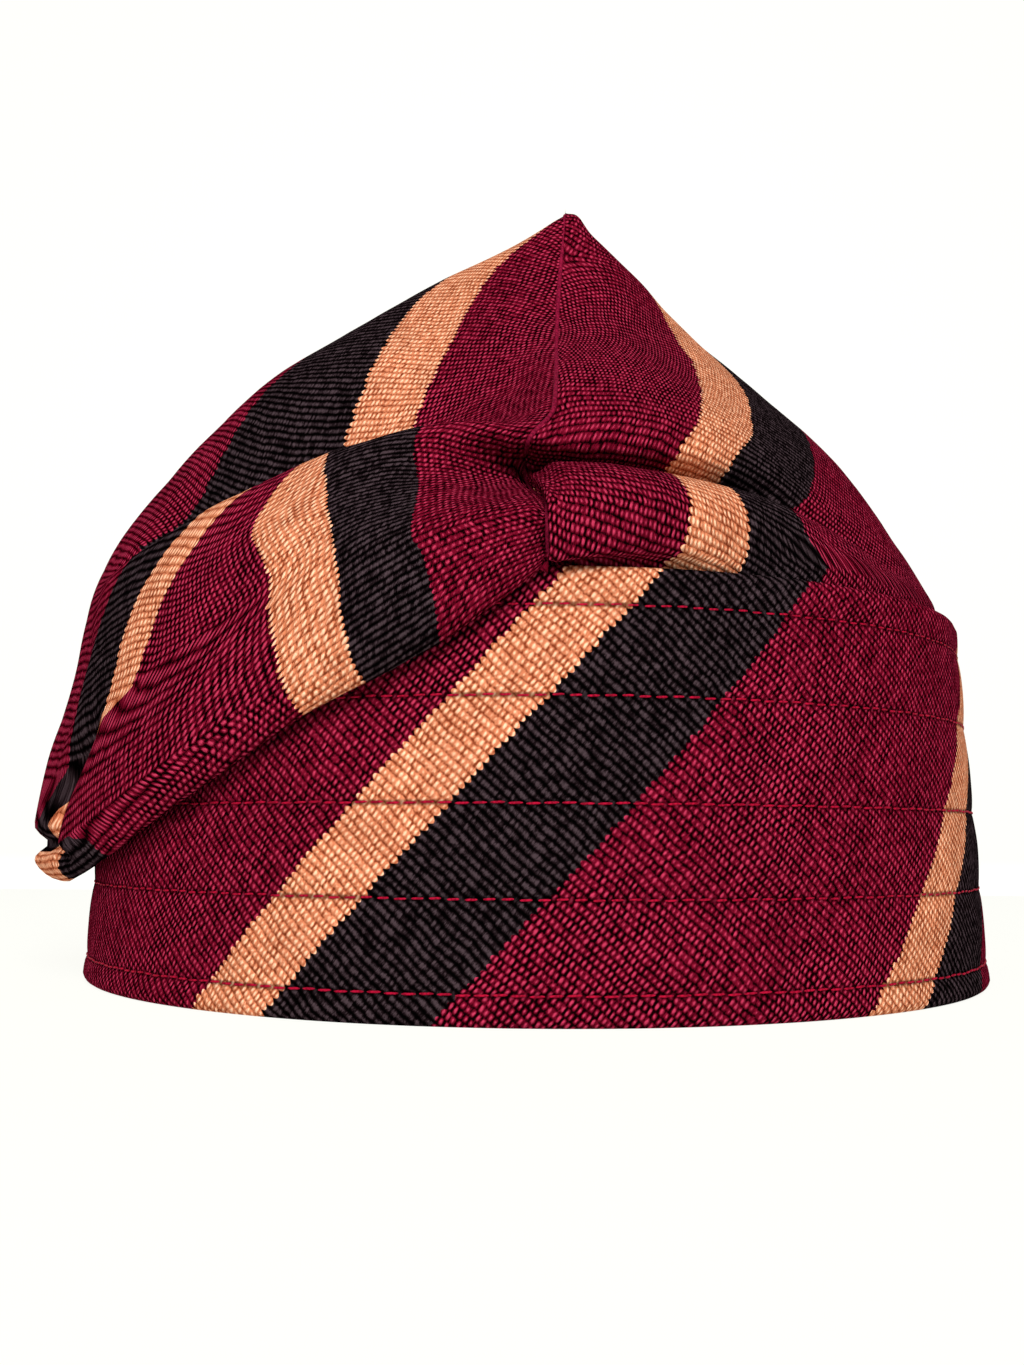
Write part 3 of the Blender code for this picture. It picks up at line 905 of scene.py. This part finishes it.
class Nodes:
    """Short calls that add shader nodes to a material."""

    def __init__(self, name):
        self.material = bpy.data.materials.new(name)
        self.material.use_nodes = True
        self.tree = self.material.node_tree
        self.shader = self.tree.nodes["Principled BSDF"]

    def plug(self, source, socket):
        """Link a socket, or set a plain value."""
        if isinstance(source, bpy.types.NodeSocket):
            self.tree.links.new(source, socket)
        else:
            socket.default_value = source

    def math(self, operation, *values):
        """The result of a Math node."""
        node = self.tree.nodes.new("ShaderNodeMath")
        node.operation = operation
        for value, socket in zip(values, node.inputs):
            self.plug(value, socket)
        return node.outputs[0]

    def ramp(self, value, low, high, to_low=0.0, to_high=1.0):
        """A value's place between two others, smoothly from one result to another."""
        node = self.tree.nodes.new("ShaderNodeMapRange")
        node.interpolation_type = "SMOOTHSTEP"
        for item, socket in zip((value, low, high, to_low, to_high), node.inputs):
            self.plug(item, socket)
        return node.outputs[0]

    def swing(self, value, size):
        """A value about 0.5, turned into one about 0 that swings as far as a size."""
        return self.math("MULTIPLY", self.math("SUBTRACT", value, 0.5), size)

    def blend(self, share, first, second):
        """Two colours, mixed."""
        node = self.tree.nodes.new("ShaderNodeMix")
        node.data_type = "RGBA"
        self.plug(share, node.inputs[0])
        for item, socket in ((first, node.inputs[6]), (second, node.inputs[7])):
            if isinstance(item, tuple):
                item = (*item, 1.0)
            self.plug(item, socket)
        return node.outputs[2]

    def layer(self, name):
        """The two coordinates of a UV layer."""
        node = self.tree.nodes.new("ShaderNodeUVMap")
        node.uv_map = name
        apart = self.tree.nodes.new("ShaderNodeSeparateXYZ")
        self.plug(node.outputs[0], apart.inputs[0])
        return apart.outputs[0], apart.outputs[1]

    def point(self, x, y, z=0.0):
        """A vector of three values."""
        node = self.tree.nodes.new("ShaderNodeCombineXYZ")
        for value, socket in zip((x, y, z), node.inputs):
            self.plug(value, socket)
        return node.outputs[0]

    def cloud(self, place, scale, detail=2.0):
        """Smooth noise about 0.5."""
        node = self.tree.nodes.new("ShaderNodeTexNoise")
        self.plug(place, node.inputs["Vector"])
        self.plug(scale, node.inputs["Scale"])
        self.plug(detail, node.inputs["Detail"])
        return node.outputs[0]

    def scatter(self, place):
        """A random value for each whole place."""
        node = self.tree.nodes.new("ShaderNodeTexWhiteNoise")
        self.plug(place, node.inputs["Vector"])
        return node.outputs[0]


def stripe_shares(n, across, rib_shape, rib_number):
    """Where the cloth is peach and where it's black: 1 on the stripe, else 0."""
    # the stripes' edges bulge at every rib, and more at some
    bulge = n.math("MULTIPLY", n.math("SUBTRACT", rib_shape, EDGE_PLAIN), EDGE_BULGE)
    bulge = n.math("ADD", bulge, n.swing(n.scatter(n.point(rib_number, 3.0)), EDGE_DIFFERENCE))
    early = 0.5 * (REPEAT - BLACK_END)
    turned = n.math("FLOORED_MODULO", n.math("ADD", across, early), REPEAT)
    place = n.math("SUBTRACT", turned, early)
    peach_end = n.math("ADD", bulge, PEACH_WIDTH)
    past_start = n.math("GREATER_THAN", place, n.math("MULTIPLY", bulge, -1.0))
    before_end = n.math("LESS_THAN", place, peach_end)
    past_peach = n.math("GREATER_THAN", place, peach_end)
    before_black_end = n.math("LESS_THAN", place, n.math("SUBTRACT", BLACK_END, bulge))
    is_peach = n.math("MULTIPLY", past_start, before_end)
    is_black = n.math("MULTIPLY", past_peach, before_black_end)
    return is_peach, is_black


def woven_cloth(name):
    """Warp-faced striped cloth: ribs of grains in brick order, in three colours."""
    n = Nodes(name)
    across, row = n.layer("stripes")
    thread, rib = n.layer("weave")
    stray = n.swing(n.cloud(n.point(thread, rib), THREAD_STRAY[0]), THREAD_STRAY[1])
    rib_stray = n.swing(n.cloud(n.point(rib, thread, 7.0), RIB_STRAY[0]), RIB_STRAY[1])
    thread = n.math("ADD", thread, stray)
    rib = n.math("ADD", rib, rib_stray)

    # the grains lean a little on their rib, as twisted threads do
    thread = n.math("ADD", thread, n.math("MULTIPLY", rib, SLANT))
    row_wave = n.math("COSINE", n.math("MULTIPLY", rib, math.pi))
    rib_shape = n.math("ABSOLUTE", row_wave)
    grain_wave = n.math("COSINE", n.math("MULTIPLY", thread, 2.0 * math.pi))
    net = n.math("MULTIPLY", grain_wave, row_wave)

    # single grains stand out more or less, and so do their strands, which run across the rib
    rib_number = n.math("ROUND", rib)
    half_grain = n.math("ROUND", n.math("MULTIPLY", thread, 2.0))
    lively = n.swing(n.scatter(n.point(half_grain, rib_number)), GRAIN_DIFFERENCE)
    beside = n.math("MULTIPLY", thread, STRANDS)
    fuzz = n.cloud(n.point(beside, rib, 3.0), STRAND_FINENESS, 3.0)
    fine = n.swing(fuzz, STRAND_DIFFERENCE)

    def relief(net_share, rib_share):
        """Height of the weave, from its net of grains and its ribs."""
        return n.math("ADD", n.math("MULTIPLY", net, net_share), n.math("MULTIPLY", rib_shape, rib_share))

    def ground(height, colours, marks):
        """Colour of one sort of ground from its height: painted shade in the gaps, the body, and painted
        highlights on the tops.
        """
        height = n.math("ADD", n.math("ADD", height, lively), fine)
        gap, body, top = colours
        # low places get painted shade and high places painted highlights
        deep = n.ramp(height, marks[0], marks[1])
        highlight_share = n.ramp(height, marks[2], marks[3])
        return n.blend(highlight_share, n.blend(deep, gap, body), top)

    openness = n.cloud(n.point(thread, rib, 11.0), 0.035, 1.0)
    open_net = n.ramp(openness, 0.4, 0.6, CLOSED_NET, OPEN_NET)
    maroon = ground(relief(open_net, MAROON_RIBS), MAROON, MAROON_MARKS)
    peach = ground(relief(*PEACH_RELIEF), PEACH, PEACH_MARKS)
    black = ground(relief(*BLACK_RELIEF), BLACK, BLACK_MARKS)
    is_peach, is_black = stripe_shares(n, across, rib_shape, rib_number)
    colour = n.blend(is_peach, n.blend(is_black, maroon, black), peach)

    # the cloth is a little uneven in tone, and has painted shade in the crease where the stitches draw it in
    tone = n.ramp(n.cloud(n.point(across, rib, 1.0), 0.12, 3.0), 0.3, 0.7, *TONE)
    row_shade = n.ramp(n.math("ABSOLUTE", row), *ROW_SHADE_WIDTH, ROW_SHADE_TONE, 1.0)
    shade = n.tree.nodes.new("ShaderNodeHueSaturation")
    n.plug(n.math("MULTIPLY", tone, row_shade), shade.inputs["Value"])
    n.plug(colour, shade.inputs["Color"])
    n.plug(shade.outputs[0], n.shader.inputs["Base Color"])

    raised = n.math("ADD", relief(*BUMP_RELIEF), n.math("MULTIPLY", fine, BUMP_STRANDS))
    bump = n.tree.nodes.new("ShaderNodeBump")
    bump.inputs["Strength"].default_value = BUMP_STRENGTH
    bump.inputs["Distance"].default_value = BUMP_HEIGHT * MM
    n.plug(raised, bump.inputs["Height"])
    n.plug(bump.outputs[0], n.shader.inputs["Normal"])
    n.plug(n.ramp(fuzz, 0.3, 0.7, *ROUGHNESS), n.shader.inputs["Roughness"])
    n.shader.inputs["Specular IOR Level"].default_value = 0.0
    return n.material


def sewing_thread(name, colour):
    """Sewing thread, a little mottled."""
    n = Nodes(name)
    coordinates = n.tree.nodes.new("ShaderNodeTexCoord")
    mottle = n.cloud(coordinates.outputs["Object"], 2500.0, 2.0)
    dark = tuple(0.45 * part for part in colour)
    n.plug(n.blend(n.ramp(mottle, 0.35, 0.65), dark, colour), n.shader.inputs["Base Color"])
    n.shader.inputs["Roughness"].default_value = 0.6
    n.shader.inputs["Specular IOR Level"].default_value = 0.03
    return n.material


def plain_stage(name):
    """A plain matt finish for the floor and the backdrop, which glows a little itself."""
    n = Nodes(name)
    n.shader.inputs["Base Color"].default_value = (*STAGE_COLOUR, 1.0)
    n.shader.inputs["Roughness"].default_value = 1.0
    n.shader.inputs["Specular IOR Level"].default_value = 0.0
    n.shader.inputs["Emission Color"].default_value = (*STAGE_GLOW, 1.0)
    n.shader.inputs["Emission Strength"].default_value = 1.0
    return n.material


# Stage, light and camera

def make_stage():
    """A pale floor that curves up into a backdrop."""
    front, back, bend, width, height = -3.0, 1.6, 0.6, 6.0, 3.0
    bend_steps = 12
    outline = [(front, 0.0), (back, 0.0)]
    for i in range(1, bend_steps + 1):
        turn = 0.5 * math.pi * i / bend_steps
        outline.append((back + bend * math.sin(turn), bend * (1.0 - math.cos(turn))))
    outline.append((back + bend, height))
    verts = [(x, y, z) for y, z in outline for x in (-width, width)]
    faces = [(2 * i, 2 * i + 1, 2 * i + 3, 2 * i + 2) for i in range(len(outline) - 1)]
    mesh = bpy.data.meshes.new("floor")
    mesh.from_pydata(verts, [], faces)
    mesh.materials.append(plain_stage("pale_floor"))
    mesh.shade_smooth()
    floor = bpy.data.objects.new("floor", mesh)
    bpy.context.scene.collection.objects.link(floor)


def make_lamp(name, place, target, size, power):
    """A square soft light that faces a target."""
    lamp = bpy.data.lights.new(name, "AREA")
    lamp.shape = "SQUARE"
    lamp.size = size
    lamp.energy = power
    holder = bpy.data.objects.new(name, lamp)
    holder.location = place
    holder.rotation_euler = (Vector(target) - Vector(place)).to_track_quat("-Z", "Y").to_euler()
    bpy.context.scene.collection.objects.link(holder)


def light_scene():
    """Plain soft studio light, mostly from the front and above; places are in metres."""
    middle = (0.0, 0.0, 0.07)
    make_lamp("key", (0.15, -1.1, 0.75), middle, 0.5, 17.0)
    make_lamp("fill", (-0.4, -1.2, 0.45), middle, 0.7, 7.5)
    make_lamp("backdrop_glow", (0.0, 0.5, 0.7), (0.0, 2.2, 0.5), 1.6, 40.0)
    world = bpy.data.worlds.new("studio")
    world.use_nodes = True
    world.node_tree.nodes["Background"].inputs["Color"].default_value = (1.0, 1.0, 0.985, 1.0)
    world.node_tree.nodes["Background"].inputs["Strength"].default_value = 0.2
    bpy.context.scene.world = world
    bpy.context.scene.view_settings.view_transform = "Standard"


def make_camera():
    """The camera at the photograph's place, pitch, roll and focal length."""
    optics = bpy.data.cameras.new("camera")
    optics.sensor_width = SENSOR
    optics.lens = FOCAL_PIXELS * SENSOR / FRAME_PIXELS
    optics.clip_start = 0.01
    camera = bpy.data.objects.new("camera", optics)
    camera.location = (CAMERA_PLACE + BAND_CENTRE) * MM
    level = Euler((math.radians(90.0 + CAMERA_PITCH), 0.0, 0.0)).to_matrix()
    roll = Matrix.Rotation(math.radians(CAMERA_ROLL), 3, "Z")
    camera.rotation_euler = (level @ roll).to_euler()
    bpy.context.scene.collection.objects.link(camera)
    bpy.context.scene.camera = camera


def dress():
    """Make every piece, and tell the frame what each stands for."""
    cloth = woven_cloth("striped_cloth")
    band = make_band(cloth)
    left = make_crown_half(
        "crown_left_cloth",
        left_run,
        LEFT_STEPS,
        -1,
        (
            (0.0, FLAP_ROLL_EDGES, FLAP_ROLL_LINES, FLAP_RIB, FLAP_GRAIN),
            (FLAP_ROLL_TOP, FLAP_EDGES, FLAP_LINES, FLAP_RIB, FLAP_GRAIN),
            (LEFT_CREASE, UPPER_LEFT_EDGES, UPPER_LEFT_LINES, LEFT_RIB, LEFT_GRAIN),
        ),
        cloth,
    )
    right = make_crown_half(
        "crown_right_cloth",
        right_run,
        RIGHT_STEPS,
        1,
        ((0.0, RIGHT_EDGES, RIGHT_LINES, RIGHT_RIB, RIGHT_GRAIN),),
        cloth,
    )
    stitches = band_stitches(sewing_thread("crimson_thread", THREAD_RED))
    seam = seam_cord(sewing_thread("maroon_thread", SEAM_RED))
    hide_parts("band")
    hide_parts("crown_left")
    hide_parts("crown_right")
    for piece in (band, stitches):
        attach(piece, "root")
    for piece in (left, right, seam):
        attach(piece, "root")


make_camera()
dress()
make_stage()
light_scene()
